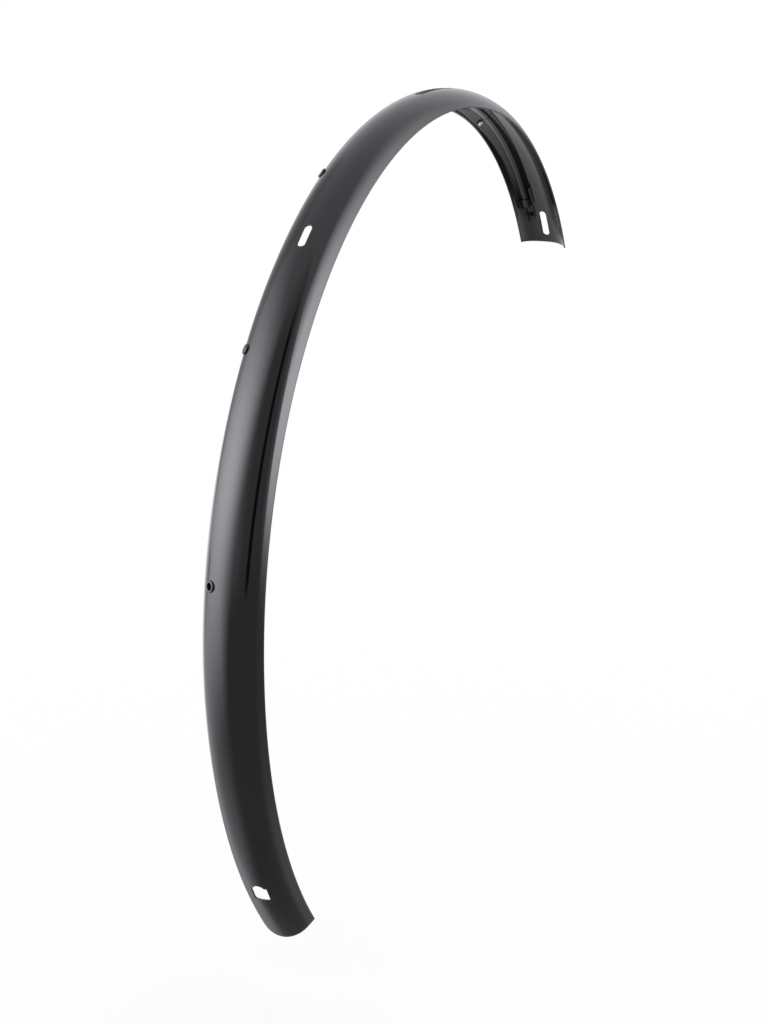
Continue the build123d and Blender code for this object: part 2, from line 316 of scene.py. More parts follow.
def skin(s, a, lift):
    """Point at station s, arc length a to the left of the crown and height lift above the outer skin.

    The section is a crown arc with straight tangent walls, spread a little about the rear bend.
    The ends are bowed by a set-back that grows with the half width, as on a circle, and fades
    along the blade with the square of the way. The front bow is flatter on the right.
    """
    phi = np.clip(a / CROWN_RADIUS, -CROWN_HALF_ANGLE, CROWN_HALF_ANGLE)
    wall = a - phi * CROWN_RADIUS
    y = (CROWN_RADIUS * np.sin(phi) + wall * np.cos(phi)) * spread(s)
    depth = CROWN_RADIUS * (1 - np.cos(phi)) + wall * np.sin(phi)
    front_radius = np.where(y < 0, FRONT_RIGHT_BOW_RADIUS, FRONT_LEFT_BOW_RADIUS)
    front = front_radius - np.sqrt(front_radius ** 2 - y ** 2)
    rear = REAR_BOW_RADIUS - np.sqrt(REAR_BOW_RADIUS ** 2 - y ** 2)
    s = s + front * np.clip(1 - s / BOW_FADE, 0, 1) ** 2
    s = s - rear * np.clip(1 - (TOTAL_LENGTH - s) / BOW_FADE, 0, 1) ** 2
    point, out, _ = crown_line(s)
    normal = out * np.cos(phi)[..., None] + LEFT * np.sin(phi)[..., None]
    return point - out * depth[..., None] + LEFT * y[..., None] + normal * lift[..., None]


def inner_roughness(a, lift):
    """Roughness that a point has beyond the outer skin's, growing with its depth in the sheet.

    Across the inner skin it goes in straight ramps from the middle's value to the shoulders' and back.
    """
    shoulder = np.interp(np.abs(a) / CROWN_RADIUS, SHOULDER_ANGLES, [0, 1, 1, 0])
    return -lift / SHEET * (MIDDLE_ROUGHNESS + (SHOULDER_ROUGHNESS - MIDDLE_ROUGHNESS) * shoulder)


def arc_points(middle, radius, start, end, count):
    """Part of a circle in the (station, half width) plane: points, and directions away from its middle."""
    t = np.linspace(start, end, count)
    away = np.stack([-np.cos(t), np.sin(t)], -1)
    return np.array(middle) + radius * away, away


def side_points(start, end, count, away):
    """Straight part of an outline between two points, with one direction for all of it."""
    t = np.linspace(0, 1, count)[:, None]
    return np.array(start) * (1 - t) + np.array(end) * t, np.tile(np.array(away, float), (count, 1))


def join_outline(parts):
    """One list of outline points and directions, each joint kept once."""
    points = np.concatenate([parts[0][0]] + [p[1:] for p, _ in parts[1:]])
    away = np.concatenate([parts[0][1]] + [d[1:] for _, d in parts[1:]])
    return points, away


def slot_outline(middle, length, width):
    """Left half of a slot with round ends, from its front tip to its rear tip."""
    r = width / 2
    first, last = middle - length / 2 + r, middle + length / 2 - r
    return join_outline([
        arc_points((first, 0), r, 0, np.pi / 2, SLOT_END_POINTS),
        side_points((first, r), (last, r), 2 + int((last - first) / ROW_STEP), (0, 1)),
        arc_points((last, 0), r, np.pi / 2, np.pi, SLOT_END_POINTS),
    ])


def rear_hole_outline():
    """Left half of the square opening with a round lobe on its front edge, from front to rear."""
    front = REAR_HOLE_AT - REAR_HOLE_LENGTH / 2
    rear = REAR_HOLE_AT + REAR_HOLE_LENGTH / 2
    half, c, r = REAR_HOLE_WIDTH / 2, REAR_HOLE_CORNER, REAR_HOLE_LOBE_RADIUS
    lobe = front - REAR_HOLE_LOBE_REACH + r
    meet = np.arccos((lobe - front) / r)
    return join_outline([
        arc_points((lobe, 0), r, 0, meet, SLOT_END_POINTS),
        side_points((front, r * np.sin(meet)), (front, half - c), 2, (-1, 0)),
        arc_points((front + c, half - c), c, 0, np.pi / 2, HOLE_CORNER_POINTS),
        side_points((front + c, half), (rear - c, half), HOLE_SIDE_POINTS, (0, 1)),
        arc_points((rear - c, half - c), c, np.pi / 2, np.pi, HOLE_CORNER_POINTS),
        side_points((rear, half - c), (rear, 0), HOLE_REAR_POINTS, (1, 0)),
    ])


def straight_rows(stations):
    """Rows straight across the blade at the given stations, closed at the crown."""
    return np.column_stack([stations, stations, np.zeros((len(stations), 4))])


def blade_rows():
    """Rows of the blade's mesh: station on the lip, edge point at the crown, direction there, open or not.

    Between the openings the rows are straight across. Beside an opening they fan out from its
    outline to evenly spaced stations on the lip.
    """
    outlines = [slot_outline(*slot) for slot in (FRONT_SLOT, TOP_SLOT, CROWN_SLOT)]
    outlines.append(rear_hole_outline())
    rows = []
    start, end = SHEET / 2, TOTAL_LENGTH - SHEET / 2
    for points, away in outlines:
        margin = min(FAN_MARGIN, (points[0, 0] - SHEET / 2) / 2)
        first, last = points[0, 0] - margin, points[-1, 0] + FAN_MARGIN
        count = max(2, int((first - start) / ROW_STEP))
        rows.append(straight_rows(np.linspace(start, first, count, endpoint=False)))
        lips = np.linspace(first, last, len(points))
        rows.append(np.column_stack([lips, points, away, np.ones(len(points))]))
        start = last + ROW_STEP
    rows.append(straight_rows(np.linspace(start, end, int((TOTAL_LENGTH - start) / ROW_STEP))))
    return np.concatenate(rows)


def quad_grid(ids):
    """Quads between neighbouring rows and columns of a grid of vertex numbers."""
    return np.stack([ids[:-1, :-1], ids[1:, :-1], ids[1:, 1:], ids[:-1, 1:]], -1).reshape(-1, 4)


def weld(points, quads):
    """Merge points that coincide and turn quads with a closed side into triangles."""
    keys = np.round(points[:, :3] / WELD_STEP).astype(np.int64)
    _, first, same = np.unique(keys, axis=0, return_index=True, return_inverse=True)
    faces = [tuple(dict.fromkeys(face)) for face in same.reshape(-1)[quads].tolist()]
    return points[first], [face for face in faces if len(face) > 2]


def join(surfaces):
    """Points and quads of several surfaces as one list of each."""
    starts = np.cumsum([0] + [len(points) for points, _ in surfaces[:-1]])
    points = np.concatenate([points for points, _ in surfaces])
    return points, np.concatenate([quads + start for (_, quads), start in zip(surfaces, starts)])


def new_piece(name, points, faces, material, crease):
    """Smooth shaded mesh object at the origin, in the shared frame, with edges sharper than crease kept."""
    mesh = bpy.data.meshes.new(name)
    mesh.from_pydata(points[:, :3].tolist(), [], faces)
    mesh.validate()
    mesh.shade_smooth()
    mesh.set_sharp_from_angle(angle=crease)
    mesh.materials.append(material)
    piece = bpy.data.objects.new(name, mesh)
    bpy.context.scene.collection.objects.link(piece)
    return piece


def stand_in_for(piece, slot, *nodes):
    """Let a piece ride on the part, in place of CAD nodes. The slot argument is not used."""
    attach(piece, "root")
    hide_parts(*nodes)


def grommet_rings(s, a):
    """Window of the blade's grid about the grommet, with rings that narrow from it to the round hole.

    Each point of the window's frame moves in equal steps to the hole's edge, straight towards the
    hole's middle. The window is given as rows and columns of quads, the rings as stations and arc
    lengths.
    """
    hole_a = CROWN_RADIUS * GROMMET_ANGLE
    rows = np.flatnonzero(np.abs(s[:, -1] - GROMMET_AT) < GROMMET_WINDOW)
    columns = np.flatnonzero(np.abs(a[rows[0]] - hole_a) < GROMMET_WINDOW)
    front, rear, inner, outer = rows[0], rows[-1], columns[0], columns[-1]
    loop = [(row, inner) for row in range(rear, front, -1)]
    loop += [(front, column) for column in range(inner, outer)]
    loop += [(row, outer) for row in range(front, rear)]
    loop += [(rear, column) for column in range(outer, inner - 1, -1)]
    loop_rows, loop_columns = np.array(loop).T
    loop_s, loop_a = s[loop_rows, loop_columns], a[loop_rows, loop_columns]
    turn = np.arctan2(loop_a - hole_a, loop_s - GROMMET_AT)
    share = np.linspace(0, 1, GROMMET_RINGS + 1)[:, None]
    ring_s = loop_s + (GROMMET_AT + GROMMET_HOLE_RADIUS * np.cos(turn) - loop_s) * share
    ring_a = loop_a + (hole_a + GROMMET_HOLE_RADIUS * np.sin(turn) - loop_a) * share
    return (slice(front, rear), slice(inner, outer)), ring_s, ring_a


def blade_half(side):
    """Points and quads of one half of the blade, side 1 for the left and -1 for the right.

    Columns run from the crown or the opening's edge to the lip on the outer skin, round the
    lip in a half circle as thick as the sheet, and back on the inner skin. The opening's edge
    and the two ends are rounded in the same way, and each corner by a quarter of a ball. On the
    left a window of the grid gives way to rings that narrow to the grommet's round hole. The
    fourth value of a point is how much rougher it is than the outer skin.
    """
    lip_s, edge_s, edge_a, away_s, away_a, is_open = blade_rows().T[:, :, None]
    r = SHEET / 2
    t = np.linspace(0, 1, HALF_COLUMNS + 1)[None]
    first_s, first_a = edge_s + away_s * r, edge_a + away_a * r
    last_a = lip_arc(lip_s) - r
    s = first_s + (lip_s - first_s) * (1 - (1 - t) ** FAN_POWER)
    a = first_a + (last_a - first_a) * t
    half_turn = np.linspace(0, np.pi, RIM_STEPS + 1)[None]
    bulge, drop = r * np.sin(half_turn), r * (np.cos(half_turn) - 1)
    inset = r - bulge
    points, quads = [], []

    def add(s_grid, a_grid, lift, flip=False, keep=None):
        """Add a grid of points on the skin or within the sheet, and those of its quads that are kept."""
        s_grid, a_grid, lift = np.broadcast_arrays(s_grid, a_grid, lift)
        start = sum(len(p) for p in points)
        place = skin(s_grid, side * a_grid, lift)
        rough = inner_roughness(a_grid, lift)
        points.append(np.concatenate([place, rough[..., None]], -1).reshape(-1, 4))
        faces = quad_grid(start + np.arange(s_grid.size).reshape(s_grid.shape))
        faces = faces if keep is None else faces[keep.reshape(-1)]
        quads.append(faces if flip != (side < 0) else faces[:, ::-1])

    keep = np.ones((len(s) - 1, HALF_COLUMNS), bool)
    if side > 0:
        window, ring_s, ring_a = grommet_rings(s, a)
        keep[window] = False
        add(ring_s, ring_a, 0.0)
        add(ring_s, ring_a, -SHEET, flip=True)
        add(ring_s[-1:], ring_a[-1:], np.array([[0.0], [-SHEET]]))
    add(s, a, 0.0, keep=keep)
    add(s, a, -SHEET, flip=True, keep=keep)
    add(lip_s, last_a + bulge, drop)
    opened = np.flatnonzero(is_open[:, 0])
    for run in np.split(opened, np.flatnonzero(np.diff(opened) > 1) + 1):
        add(edge_s[run] + away_s[run] * inset, edge_a[run] + away_a[run] * inset, drop, flip=True)
    quarter_turn = np.linspace(0, np.pi / 2, CORNER_STEPS + 1)[:, None]
    for row, sign in ((0, -1), (-1, 1)):
        end_s, end_a = s[row][:, None], a[row][:, None]
        add(end_s + sign * bulge, end_a, drop, flip=sign > 0)
        corner_s = end_s[-1] + sign * bulge * np.sin(quarter_turn)
        corner_a = end_a[-1] + bulge * np.cos(quarter_turn)
        add(corner_s, corner_a, drop, flip=sign < 0)
    return np.concatenate(points), np.concatenate(quads)


def make_blade(material):
    """The rolled sheet: two welded halves, which keep the inner skin's extra roughness as an attribute."""
    points, faces = weld(*join([blade_half(1), blade_half(-1)]))
    piece = new_piece("blade_sheet", points, faces, material, SHEET_CREASE)
    mark = piece.data.attributes.new("inner_roughness", "FLOAT", "POINT")
    mark.data.foreach_set("value", points[:, 3].astype(np.float32))
    stand_in_for(piece, "blade_paint", "blade")


def skin_frame(at, angle):
    """Point on the outer skin at a station and an angle, with the rear, right and outward directions."""
    point, out, back = crown_line(np.array(at))
    outward = out * np.cos(angle) + LEFT * np.sin(angle)
    right = out * np.sin(angle) - LEFT * np.cos(angle)
    place = point + (outward - out) * CROWN_RADIUS
    return place * [1, spread(at), 1], back, right, outward


def on_skin(at, angle, along, across, height):
    """Surface from grids of distances along and across the blade and above its tangent plane at a point."""
    origin, back, right, outward = skin_frame(at, angle)
    points = origin + along[..., None] * back + across[..., None] * right + height[..., None] * outward
    return points.reshape(-1, 3), quad_grid(np.arange(along.size).reshape(along.shape))


def turned(at, angle, radius, height, cling):
    """Surface of revolution about the skin's normal at a station and angle.

    Each profile point goes round in a circle of its radius at its height. The share cling of it
    follows the skin's fall below the tangent plane, the drop of a circle across the blade.
    """
    turn = np.linspace(0, 2 * np.pi, TURN_STEPS + 1)[:, None]
    along, across = radius * np.cos(turn), radius * np.sin(turn)
    fall = np.sqrt(CROWN_RADIUS ** 2 - across ** 2) - CROWN_RADIUS
    return on_skin(at, angle, along, across, height + cling * fall)


def rounded(middle_r, middle_z, radius, start, end, steps=ROUND_STEPS):
    """Profile points on part of a circle, angles from the outward radius towards the height."""
    t = np.linspace(start, end, steps + 1)
    return middle_r + radius * np.cos(t), middle_z + radius * np.sin(t)


def make_bushes(material):
    """Blind bushes outside the blade: a wall from the skin, a quarter round and a flat top."""
    flat = BUSH_RADIUS - BUSH_ROUND
    top = flat * np.linspace(1, 0, BUSH_TOP_RINGS + 1)[1:]
    round_r, round_z = rounded(flat, BUSH_HEIGHT - BUSH_ROUND, BUSH_ROUND, 0, np.pi / 2)
    radius = np.concatenate([[0, BUSH_RADIUS], round_r, top])
    height = np.concatenate([[-FOOT_SINK, -FOOT_SINK], round_z, BUSH_HEIGHT + 0 * top])
    cling = np.concatenate([[1, 1], 0 * round_r, 0 * top])
    buttons = [turned(at, FIXING_ANGLE, radius, height, cling) for at in FIXING_STATIONS]
    piece = new_piece("bush_buttons", *weld(*join(buttons)), material, BUTTON_CREASE)
    stand_in_for(piece, "bush_plastic", "bushes")


def make_grommet(material):
    """Ring round the cable's way out: outer wall, rounded crest, bore and barrel as one closed profile."""
    barrel, bore, crest = GROMMET_BARREL_RADIUS, GROMMET_BORE_RADIUS, GROMMET_RADIUS
    crest_r, crest_z = rounded(
        crest - GROMMET_ROUND, GROMMET_HEIGHT - GROMMET_ROUND, GROMMET_ROUND, 0, np.pi / 2)
    bore_r, bore_z = rounded(
        bore + GROMMET_BORE_ROUND, GROMMET_HEIGHT - GROMMET_BORE_ROUND, GROMMET_BORE_ROUND,
        np.pi / 2, np.pi)
    radius = np.concatenate([[barrel, crest], crest_r, bore_r, [bore, barrel, barrel]])
    height = np.concatenate([[-FOOT_SINK, -FOOT_SINK], crest_z, bore_z, [-SHEET, -SHEET, -FOOT_SINK]])
    cling = np.concatenate([[1, 1], 0 * crest_r, 0 * bore_r, [0, 0, 1]])
    ring = turned(GROMMET_AT, GROMMET_ANGLE, radius, height, cling)
    piece = new_piece("grommet_ring", *weld(*ring), material, BUTTON_CREASE)
    stand_in_for(piece, "grommet_rubber", "cable_grommet")


def screw_head(at):
    """Pan head screw from the inside, with a cross recess.

    The head is a disc with a domed top, its edge rounded by a high power of the radius, and a
    straight side down to its pad. The recess is as deep as a ramp of the distance into a plus
    shape, the nearer of two crossed bars.
    """
    share = np.linspace(0, 1, SCREW_RINGS + 1)
    turn = np.linspace(0, 2 * np.pi, SCREW_TURN_STEPS + 1)[:, None]
    radius = SCREW_HEAD_RADIUS * np.append(share, [1, 0])
    along, across = radius * np.cos(turn), radius * np.sin(turn)
    long, wide = CROSS_LENGTH / 2, CROSS_WIDTH / 2
    bar = np.maximum(np.abs(along) - long, np.abs(across) - wide)
    crossbar = np.maximum(np.abs(across) - long, np.abs(along) - wide)
    recess = CROSS_DEPTH * np.clip(-np.minimum(bar, crossbar) / CROSS_SLOPE, 0, 1)
    fall = SCREW_DOME_FALL * share ** 2 + SCREW_EDGE_FALL * share ** SCREW_EDGE_POWER
    height = np.full_like(along, PAD_LEVEL)
    height[:, :len(share)] += recess[:, :len(share)] - SCREW_HEAD_HEIGHT * (1 - fall)
    return on_skin(at, FIXING_ANGLE, along, across, height)


def make_screws(material):
    """The heads of the three cover screws, the shanks being out of sight."""
    heads = [screw_head(at) for at in FIXING_STATIONS]
    piece = new_piece("screw_heads", *weld(*join(heads)), material, SCREW_CREASE)
    stand_in_for(piece, "screw_steel", "cover_screws")


def swept_wall(near, far, stations):
    """Wall between two section curves of equal count, carried along the crown, with flat ends.

    The curves hold radius and angle about the crown's centre of curvature for each station. The
    near curve faces the wheel and the far one the blade, and both run from right to left. The
    wall spreads with the blade.
    """
    loop = np.concatenate([near, far[:, ::-1], near[:, :1]], 1)
    point, out, _ = crown_line(stations)
    x = loop[..., 0] * np.cos(loop[..., 1]) - CROWN_RADIUS
    y = loop[..., 0] * np.sin(loop[..., 1]) * spread(stations)[:, None]
    points = point[:, None] + out[:, None] * x[..., None] + LEFT * y[..., None]
    ids = np.arange(points.shape[0] * points.shape[1]).reshape(points.shape[:2])
    count = near.shape[1]
    first, last = np.stack([ids[[0, -1], :count], ids[[0, -1], count:2 * count][:, ::-1]], -1)
    quads = [quad_grid(ids), quad_grid(first), quad_grid(last)[:, ::-1]]
    return points.reshape(-1, 3), np.concatenate(quads)


def about_channel(radius, t):
    """Radius and angle of points on a circle about the channel's middle, which lies on the seat.

    The angle t is zero towards the wheel's axle and grows to the left.
    """
    inward = COVER_SEAT_RADIUS - radius * np.cos(t)
    left = radius * np.sin(t)
    return np.stack([np.hypot(inward, left), CHANNEL_ANGLE + np.arctan2(left, inward)], -1)


def ridge_curves():
    """Arcs of the ridge towards the wheel and of the channel under it.

    The ridge goes from its foot on the right to the flange's near face, the channel from seat to seat.
    """
    ridge = CHANNEL_RADIUS + COVER_WALL
    low = COVER_SEAT_RADIUS - COVER_WALL
    reach = np.arccos((COVER_SEAT_RADIUS ** 2 - low ** 2 + ridge ** 2) / (2 * COVER_SEAT_RADIUS * ridge))
    side = np.arccos(CHANNEL_RADIUS / (2 * COVER_SEAT_RADIUS))
    near = about_channel(ridge, np.linspace(FOOT_MEETS_RIDGE, reach, RIDGE_STEPS + 1))
    far = about_channel(CHANNEL_RADIUS, np.linspace(-side, side, RIDGE_STEPS + 1))
    return near, far


def flange_edge(stations):
    """Angle of the flange's free edge, constant but for a tongue about each fixing.

    A tongue is level about its middle and tapers to nothing both ways.
    """
    middles = np.array(FIXING_STATIONS) + TONGUE_SHIFT
    away = np.abs(stations[:, None] - middles).min(1)
    taper = np.clip((TONGUE_REACH - away) / (TONGUE_REACH - TONGUE_FLAT), 0, 1)
    return FLANGE_EDGE_ANGLE + TONGUE_ANGLE * taper


def with_foot(edge, ridge):
    """Section curve from the foot's edge in even steps to the start of a ridge curve, and along it."""
    share = np.linspace(0, 1, FOOT_STEPS + 1)[:, None]
    return np.concatenate([edge + (ridge[0] - edge) * share, ridge[1:]])


def cover_curves(stations):
    """Near and far section curves of the cable cover at each station.

    From right to left: a foot that slopes up from the seat, the half-round ridge over its
    channel, and the flange, whose free edge is a half circle.
    """
    near_ridge, far_ridge = ridge_curves()
    foot = np.array([COVER_SEAT_RADIUS, FOOT_EDGE_ANGLE])
    half = COVER_WALL / 2
    middle = COVER_SEAT_RADIUS - half
    last = (flange_edge(stations) - half / middle)[:, None]
    share = np.linspace(0, 1, FLANGE_STEPS + 1)[None, 1:]
    turn = np.linspace(0, np.pi / 2, FLANGE_EDGE_STEPS + 1)[None, 1:]

    def whole(start, sign):
        """Start curve at every station, then the flange's straight run and its edge's quarter circle."""
        first_r, first_angle = start[-1]
        run_r = first_r + (middle + sign * half - first_r) * share + 0 * last
        run_angle = first_angle + (last - first_angle) * share
        edge_r = middle + sign * half * np.cos(turn) + 0 * last
        edge_angle = last + half * np.sin(turn) / middle
        run = np.stack([run_r, run_angle], -1)
        edge = np.stack([edge_r, edge_angle], -1)
        starts = np.broadcast_to(start, (len(stations),) + start.shape)
        return np.concatenate([starts, run, edge], 1)

    return whole(with_foot(foot - [FOOT_EDGE, 0], near_ridge), -1), whole(with_foot(foot, far_ridge), 1)


def cover_pad(at):
    """Round pad under a screw head: a disc from the seat to its level, its edge rounded."""
    edge_r, edge_z = rounded(
        PAD_RADIUS - PAD_ROUND, PAD_LEVEL + PAD_ROUND, PAD_ROUND, -np.pi / 2, 0, PAD_ROUND_STEPS)
    seat = COVER_SEAT_RADIUS - CROWN_RADIUS
    radius = np.concatenate([[0], edge_r, [PAD_RADIUS, 0]])
    height = np.concatenate([[PAD_LEVEL], edge_z, [seat, seat]])
    cling = np.concatenate([[0], 0 * edge_r, [1, 1]])
    return turned(at, FIXING_ANGLE, radius, height, cling)


def end_wall(end):
    """Wall that closes the channel at its rear end, from within the ridge to the seat."""
    near_ridge, far_ridge = ridge_curves()
    within = (near_ridge + far_ridge) / 2
    seat_r = np.full(len(within), COVER_SEAT_RADIUS - END_WALL_INSET)
    seat = np.stack([seat_r, np.linspace(within[0, 1], within[-1, 1], len(within))], -1)
    stations = np.array([end - COVER_WALL, end - END_WALL_INSET])
    return swept_wall(np.stack([within] * 2), np.stack([seat] * 2), stations)


def make_covers(material):
    """The three lengths of cable cover, each with its pad, the last one closed behind the grommet."""
    for number, ((start, end), fixing) in enumerate(zip(COVER_ENDS, FIXING_STATIONS), 1):
        stations = np.linspace(start, end, int((end - start) / ROW_STEP))
        surfaces = [swept_wall(*cover_curves(stations), stations), cover_pad(fixing)]
        if number == len(COVER_ENDS):
            surfaces.append(end_wall(end))
        piece = new_piece("cover_length_%d" % number, *weld(*join(surfaces)), material, COVER_CREASE)
        stand_in_for(piece, "cover_plastic", "cable_cover_%d" % number)


class NodeSums:
    """Adds value nodes to a node tree. Each value is a number or another node's output."""

    def __init__(self, tree):
        self.nodes, self.links = tree.nodes, tree.links

    def put(self, socket, value):
        """Set a socket to a number, or link an output to it."""
        if isinstance(value, (int, float)):
            socket.default_value = value
        else:
            self.links.new(value, socket)

    def calc(self, operation, *values):
        """Result of a Math node."""
        node = self.nodes.new("ShaderNodeMath")
        node.operation = operation
        for socket, value in zip(node.inputs, values):
            self.put(socket, value)
        return node.outputs["Value"]

    def product(self, first, *others):
        """All the values multiplied."""
        for value in others:
            first = self.calc("MULTIPLY", first, value)
        return first

    def ramp(self, value, edge, low, high, smooth=True):
        """Low before an edge's start and high after its end, with a smooth or a straight change between."""
        node = self.nodes.new("ShaderNodeMapRange")
        node.interpolation_type = "SMOOTHSTEP" if smooth else "LINEAR"
        for socket, number in zip(node.inputs, (value, *edge, low, high)):
            self.put(socket, number)
        return node.outputs["Result"]

    def rise(self, value, edge):
        """Smooth change from 0 to 1 over an edge."""
        return self.ramp(value, edge, 0, 1)

    def fall(self, value, edge, smooth=True):
        """Change from 1 to 0 over an edge."""
        return self.ramp(value, edge, 1, 0, smooth)


def uneven_finish():
    """Node group: a soft noise that moves a colour and a roughness between two values each."""
    group = bpy.data.node_groups.new("uneven_finish", "ShaderNodeTree")
    inputs = (
        ("Place", "Vector"), ("Scale", "Float"), ("Dark", "Color"), ("Light", "Color"), ("Smooth", "Float"),
        ("Rough", "Float"))
    outputs = (("Color", "Color"), ("Roughness", "Float"), ("Grain", "Float"))
    for way, sockets in (("INPUT", inputs), ("OUTPUT", outputs)):
        for name, kind in sockets:
            group.interface.new_socket(name, in_out=way, socket_type="NodeSocket" + kind)
    nodes, links = group.nodes, group.links
    entry = nodes.new("NodeGroupInput")
    leave = nodes.new("NodeGroupOutput")
    noise = nodes.new("ShaderNodeTexNoise")
    noise.inputs["Detail"].default_value = NOISE_DETAIL
    links.new(entry.outputs["Place"], noise.inputs["Vector"])
    links.new(entry.outputs["Scale"], noise.inputs["Scale"])
    tint = nodes.new("ShaderNodeMix")
    tint.data_type = "RGBA"
    links.new(noise.outputs["Fac"], tint.inputs["Factor"])
    links.new(entry.outputs["Dark"], tint.inputs["A"])
    links.new(entry.outputs["Light"], tint.inputs["B"])
    gloss = nodes.new("ShaderNodeMapRange")
    links.new(noise.outputs["Fac"], gloss.inputs["Value"])
    links.new(entry.outputs["Smooth"], gloss.inputs["To Min"])
    links.new(entry.outputs["Rough"], gloss.inputs["To Max"])
    links.new(tint.outputs["Result"], leave.inputs["Color"])
    links.new(gloss.outputs["Result"], leave.inputs["Roughness"])
    links.new(noise.outputs["Fac"], leave.inputs["Grain"])
    return group


def finish_material(name, group, scale, dark, light, smooth, rough, metallic=0.0, grain=0.0, ior=1.5):
    """Material with the uneven finish on Object coordinates, and its grain as a fine bump."""
    material = bpy.data.materials.new(name)
    material.use_nodes = True
    nodes, links = material.node_tree.nodes, material.node_tree.links
    shader = nodes["Principled BSDF"]
    shader.inputs["IOR"].default_value = ior
    shader.inputs["Metallic"].default_value = metallic
    place = nodes.new("ShaderNodeTexCoord")
    finish = nodes.new("ShaderNodeGroup")
    finish.node_tree = group
    links.new(place.outputs["Object"], finish.inputs["Place"])
    values = {"Scale": scale, "Dark": (*dark, 1), "Light": (*light, 1), "Smooth": smooth, "Rough": rough}
    for socket, value in values.items():
        finish.inputs[socket].default_value = value
    links.new(finish.outputs["Color"], shader.inputs["Base Color"])
    links.new(finish.outputs["Roughness"], shader.inputs["Roughness"])
    if grain:
        bump = nodes.new("ShaderNodeBump")
        bump.inputs["Strength"].default_value = grain
        bump.inputs["Distance"].default_value = GRAIN_DEPTH
        links.new(finish.outputs["Grain"], bump.inputs["Height"])
        links.new(bump.outputs["Normal"], shader.inputs["Normal"])
    return material


def gloss_paint(group):
    """Black gloss paint, rougher on the inner skin by the value that the blade keeps there."""
    material = finish_material("blade_paint", group, **PAINT)
    nodes, links = material.node_tree.nodes, material.node_tree.links
    roughness = nodes["Principled BSDF"].inputs["Roughness"]
    mark = nodes.new("ShaderNodeAttribute")
    mark.attribute_name = "inner_roughness"
    finish = roughness.links[0].from_socket
    links.new(NodeSums(material.node_tree).calc("ADD", mark.outputs["Fac"], finish), roughness)
    return material


def dress(material, *nodes):
    """Give the objects of CAD nodes a finer material."""
    for node in nodes:
        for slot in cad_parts[node].material_slots:
            slot.material = material


def lit_floor(sums, x, y):
    """Strength of the lit floor at a place, x ahead and y to the left.

    It is brighter to both sides and dimmer near the blade, where the blade's shadow is painted. A
    black card shades its right: a far part whose left edge slants from a place on, a near part that
    steps further left, and a near edge that slants across both.
    """
    sides = sums.calc("MAXIMUM", sums.rise(y, LIT_LEFT_EDGE), sums.fall(y, LIT_RIGHT_EDGE))
    bright = sums.calc("MULTIPLY_ADD", sides, LIT_SIDES_GAIN, LIT_LEVEL)
    beyond = sums.calc("MAXIMUM", sums.calc("SUBTRACT", x, CARD_SLANT_FROM), 0.0)
    far = sums.fall(sums.calc("MULTIPLY_ADD", beyond, -CARD_LEFT_SLANT, y), CARD_LEFT_EDGE)
    step = sums.product(sums.fall(x, CARD_STEP_FAR_EDGE), sums.fall(y, CARD_STEP_LEFT_EDGE))
    near = sums.rise(sums.calc("MULTIPLY_ADD", x, CARD_NEAR_SLANT, y), CARD_NEAR_EDGE)
    card = sums.product(sums.calc("MAXIMUM", far, step), near)
    unshaded = sums.calc("MULTIPLY_ADD", card, -CARD_SHADE, 1.0)
    # The lit floor is dimmer near the blade, as a painted shadow of the blade
    return sums.product(bright, sums.ramp(x, PAINTED_SHADOW_EDGE, PAINTED_SHADOW_LEVEL, 1), unshaded)


def pale_floor():
    """Round pale floor a little below the blade, white where no shadow falls.

    Its own glow and the light it returns add up to white under the white studio. Gloss sees only
    the lit floor ahead of the blade and looks through the rest, as do views from below.
    """
    material = bpy.data.materials.new("floor_white")
    material.use_nodes = True
    nodes, links = material.node_tree.nodes, material.node_tree.links
    nodes.remove(nodes["Principled BSDF"])
    sums = NodeSums(material.node_tree)
    place = nodes.new("ShaderNodeTexCoord")
    axes = nodes.new("ShaderNodeSeparateXYZ")
    links.new(place.outputs["Object"], axes.inputs["Vector"])
    path = nodes.new("ShaderNodeLightPath")
    side = nodes.new("ShaderNodeNewGeometry")
    clear = nodes.new("ShaderNodeBsdfTransparent")
    chalk = nodes.new("ShaderNodeBsdfDiffuse")
    chalk.inputs["Color"].default_value = (FLOOR_RETURN, FLOOR_RETURN, FLOOR_RETURN, 1)
    glow = nodes.new("ShaderNodeEmission")
    glow.inputs["Strength"].default_value = 1 - FLOOR_RETURN
    white = nodes.new("ShaderNodeAddShader")
    links.new(chalk.outputs["BSDF"], white.inputs[0])
    links.new(glow.outputs["Emission"], white.inputs[1])
    lit = nodes.new("ShaderNodeEmission")
    links.new(lit_floor(sums, axes.outputs["X"], axes.outputs["Y"]), lit.inputs["Strength"])

    def mix(share, first, second):
        """Shader that is the first one where the share is 0 and the second one where it is 1."""
        node = nodes.new("ShaderNodeMixShader")
        for socket, output in zip(node.inputs, (share, first, second)):
            links.new(output, socket)
        return node.outputs["Shader"]

    start = sums.rise(axes.outputs["X"], LIT_START_EDGE)
    ahead = mix(start, clear.outputs["BSDF"], lit.outputs["Emission"])
    above = mix(path.outputs["Is Glossy Ray"], white.outputs["Shader"], ahead)
    whole = mix(side.outputs["Backfacing"], above, clear.outputs["BSDF"])
    links.new(whole, nodes["Material Output"].inputs["Surface"])
    turn = np.linspace(0, 2 * np.pi, FLOOR_SIDES, endpoint=False)
    rim = np.stack([np.cos(turn), np.sin(turn), np.zeros_like(turn)], -1) * FLOOR_RADIUS
    points = rim + [0, 0, FLOOR_LEVEL]
    floor = new_piece("floor", points, [tuple(range(FLOOR_SIDES))], material, SHEET_CREASE)


